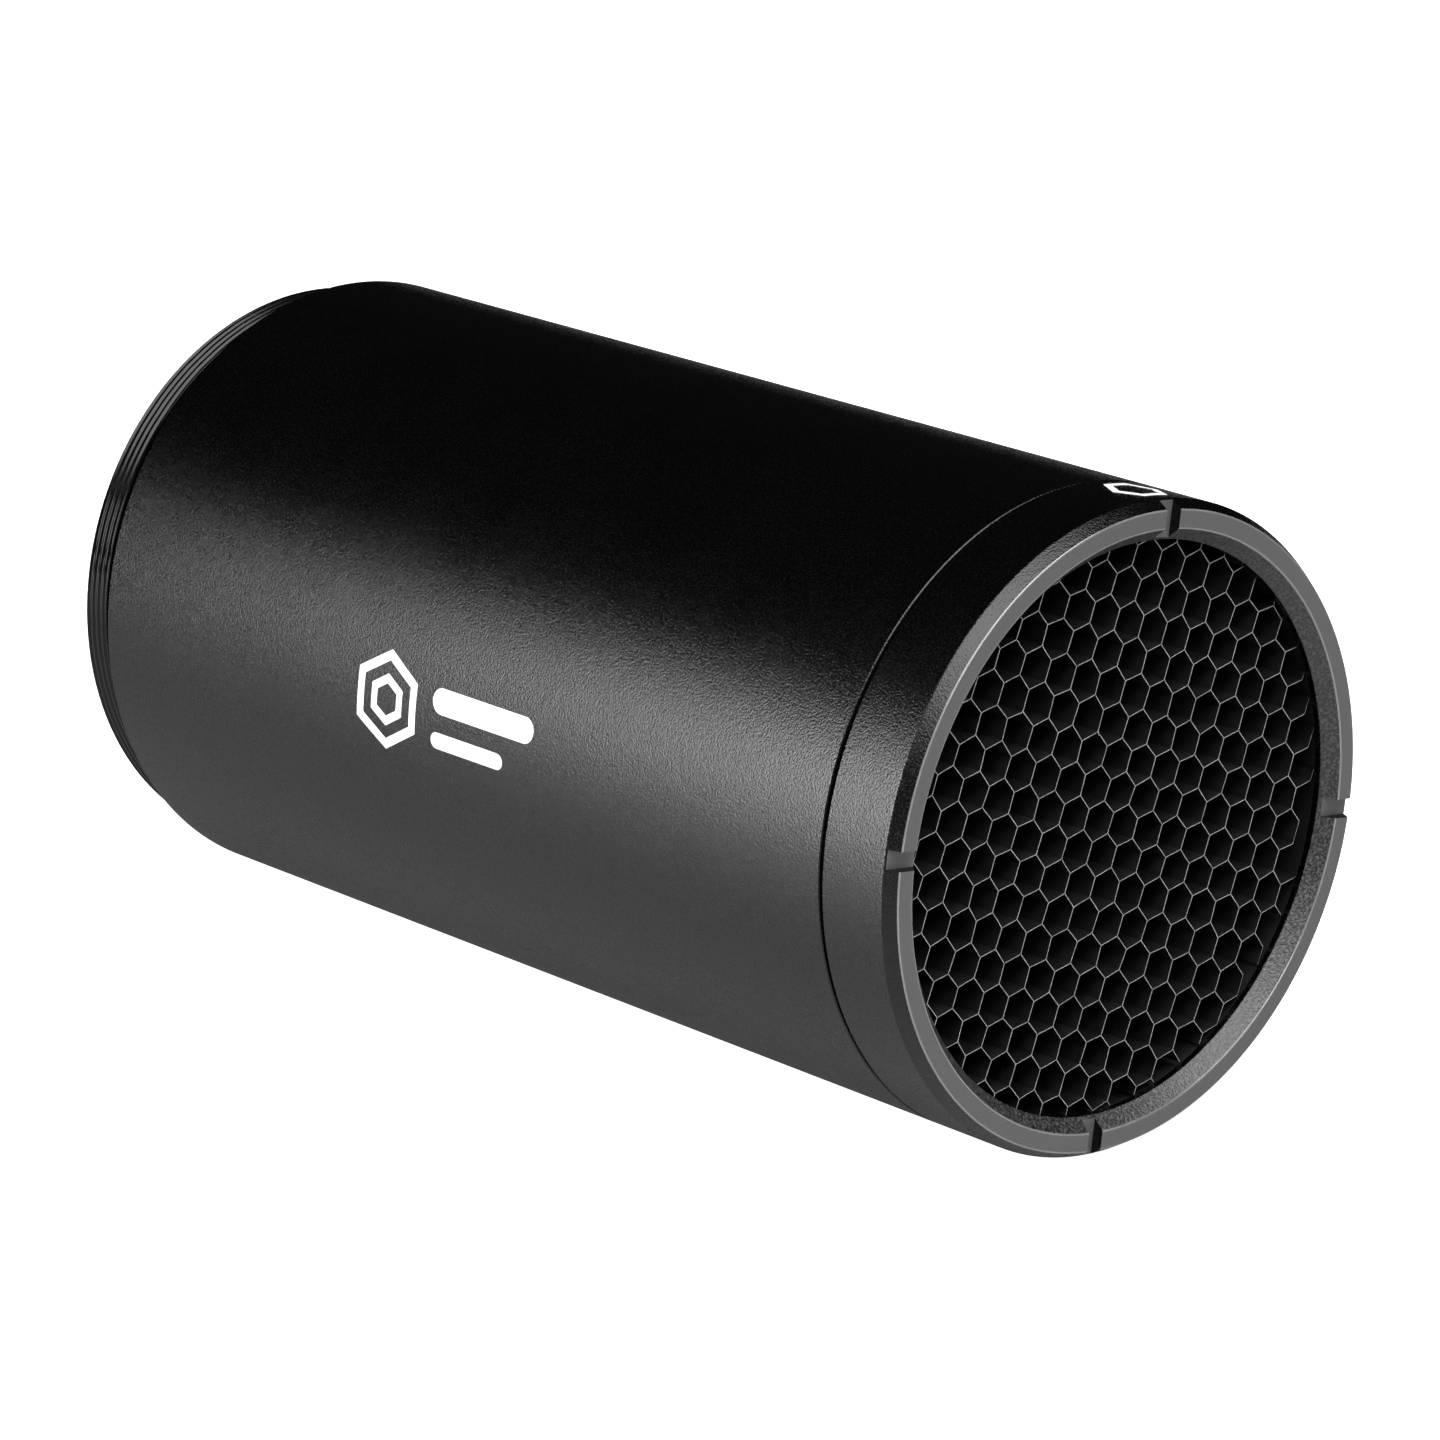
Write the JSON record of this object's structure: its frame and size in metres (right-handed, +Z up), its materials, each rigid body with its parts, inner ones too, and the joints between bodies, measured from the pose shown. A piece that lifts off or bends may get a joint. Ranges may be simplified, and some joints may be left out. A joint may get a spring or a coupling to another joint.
{
  "type": "snoot",
  "caption": "Cylindrical screw-on light snoot: a black threaded tube with a screw-on front ring that holds a recessed metal honeycomb grid.",
  "frame": {"origin": "on the beam axis, in the plane of the rear shoulder where the tube seats on the light or optic that carries it", "axes": "+Y along the beam axis towards the rear thread, so the mouth faces -Y; +Z up"},
  "size_m": [0.058, 0.1102, 0.058],
  "materials": {
    "black_anodised_blasted": "bead-blasted, black anodised, fine sparkling grain",
    "honeycomb_foil": "thin blackened foil with bare cut edges",
    "spring_steel": "phosphated, satin",
    "black_rubber": "matt",
    "white_print": "pad-printed white ink, satin"
  },
  "bodies": {
    "tube": {"main_tube": "black_anodised_blasted"},
    "gasket": {"seam_gasket": "black_rubber"},
    "grid_ring": {"front_ring": "black_anodised_blasted", "snap_ring": "spring_steel", "foil_ribbon_01": "honeycomb_foil", "foil_ribbon_02": "honeycomb_foil", "foil_ribbon_03": "honeycomb_foil", "foil_ribbon_04": "honeycomb_foil", "foil_ribbon_05": "honeycomb_foil", "foil_ribbon_06": "honeycomb_foil", "foil_ribbon_07": "honeycomb_foil", "foil_ribbon_08": "honeycomb_foil", "foil_ribbon_09": "honeycomb_foil", "foil_ribbon_10": "honeycomb_foil", "foil_ribbon_11": "honeycomb_foil", "foil_ribbon_12": "honeycomb_foil", "foil_ribbon_13": "honeycomb_foil", "foil_ribbon_14": "honeycomb_foil", "foil_ribbon_15": "honeycomb_foil", "foil_ribbon_16": "honeycomb_foil", "foil_ribbon_17": "honeycomb_foil", "foil_ribbon_18": "honeycomb_foil", "foil_ribbon_19": "honeycomb_foil", "foil_ribbon_20": "honeycomb_foil", "foil_ribbon_21": "honeycomb_foil", "foil_ribbon_22": "honeycomb_foil", "foil_ribbon_23": "honeycomb_foil", "foil_ribbon_24": "honeycomb_foil", "foil_ribbon_25": "honeycomb_foil", "foil_ribbon_26": "honeycomb_foil", "foil_ribbon_27": "honeycomb_foil", "foil_ribbon_28": "honeycomb_foil", "foil_ribbon_29": "honeycomb_foil", "foil_ribbon_30": "honeycomb_foil", "foil_ribbon_31": "honeycomb_foil"}
  },
  "joints": [
    {"name": "ring_advance", "type": "slide", "parent": "tube", "child": "gasket", "axis": [0, -1, 0], "range_m": [0, 0.00301]},
    {"name": "ring_unscrew", "type": "hinge", "parent": "gasket", "child": "grid_ring", "pos_m": [0, -0.0967, 0], "axis": [0, -1, 0], "range_deg": [0, 1440]}
  ],
  "couplings": [
    {"joint": "ring_advance", "follows": "ring_unscrew", "m_per_rad": 0.00011937}
  ]
}
